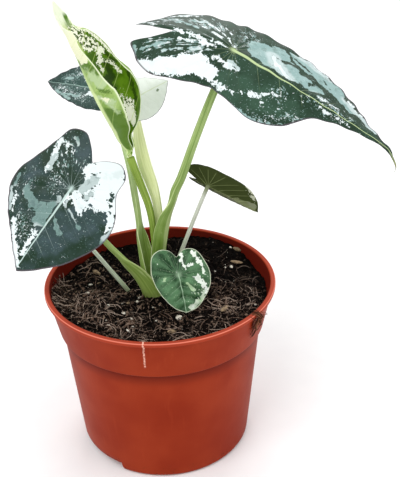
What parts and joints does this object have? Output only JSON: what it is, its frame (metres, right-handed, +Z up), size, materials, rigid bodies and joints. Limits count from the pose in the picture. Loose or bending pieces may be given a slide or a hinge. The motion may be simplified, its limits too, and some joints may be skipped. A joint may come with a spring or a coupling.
{
  "type": "potted alocasia",
  "caption": "Young variegated alocasia with arrow-shaped leaves on slender stalks, in a round terracotta-coloured plastic nursery pot filled with soil.",
  "frame": {"origin": "centre of the flat underside of the nursery pot, on the surface that it stands on", "axes": "+Z up along the pot's axis, -Y towards the viewer of the picture, +X to the right, where the longest leaf points"},
  "size_m": [0.1882, 0.12, 0.2397],
  "materials": {
    "pot_plastic": "satin injection-moulded polypropylene, terracotta red",
    "soil": "damp peat and bark mix, matt and crumbly",
    "perlite": "matt porous grain, cream white",
    "bark": "rough bark chip",
    "corm": "fibrous brown skin",
    "stalk": "smooth living stalk, pale yellow-green, satin",
    "pale_stalk": "smooth living stalk, greenish white, satin",
    "variegated_leaf": "living leaf, dark grey-green with white patches and pale veins, satin",
    "white_leaf": "living leaf, nearly all white with green freckles, satin",
    "olive_leaf": "underside of a living leaf, dark olive with lighter veins, satin",
    "young_leaf": "young rolled leaf, bright green and cream, glossy"
  },
  "bodies": {
    "root": {"nursery_pot": "pot_plastic", "potting_soil": "soil", "perlite_1": "perlite", "perlite_2": "perlite", "perlite_3": "perlite", "perlite_4": "perlite", "perlite_5": "perlite", "perlite_6": "perlite", "perlite_7": "perlite", "bark_chip_1": "bark", "bark_chip_2": "bark", "bark_chip_3": "bark", "corm": "corm", "stalk_left": "stalk", "stalk_rear_left": "stalk", "stalk_right": "stalk", "stalk_rear_right": "stalk", "stalk_furled": "stalk", "stalk_small_right": "pale_stalk", "stalk_small_front": "pale_stalk", "stalk_small_left": "pale_stalk", "blade_left": "variegated_leaf", "blade_right": "variegated_leaf", "blade_rear_left": "variegated_leaf", "blade_rear_right": "white_leaf", "blade_small_right": "olive_leaf", "blade_small_front": "variegated_leaf", "blade_small_left": "variegated_leaf", "blade_furled": "young_leaf"}
  },
  "joints": []
}
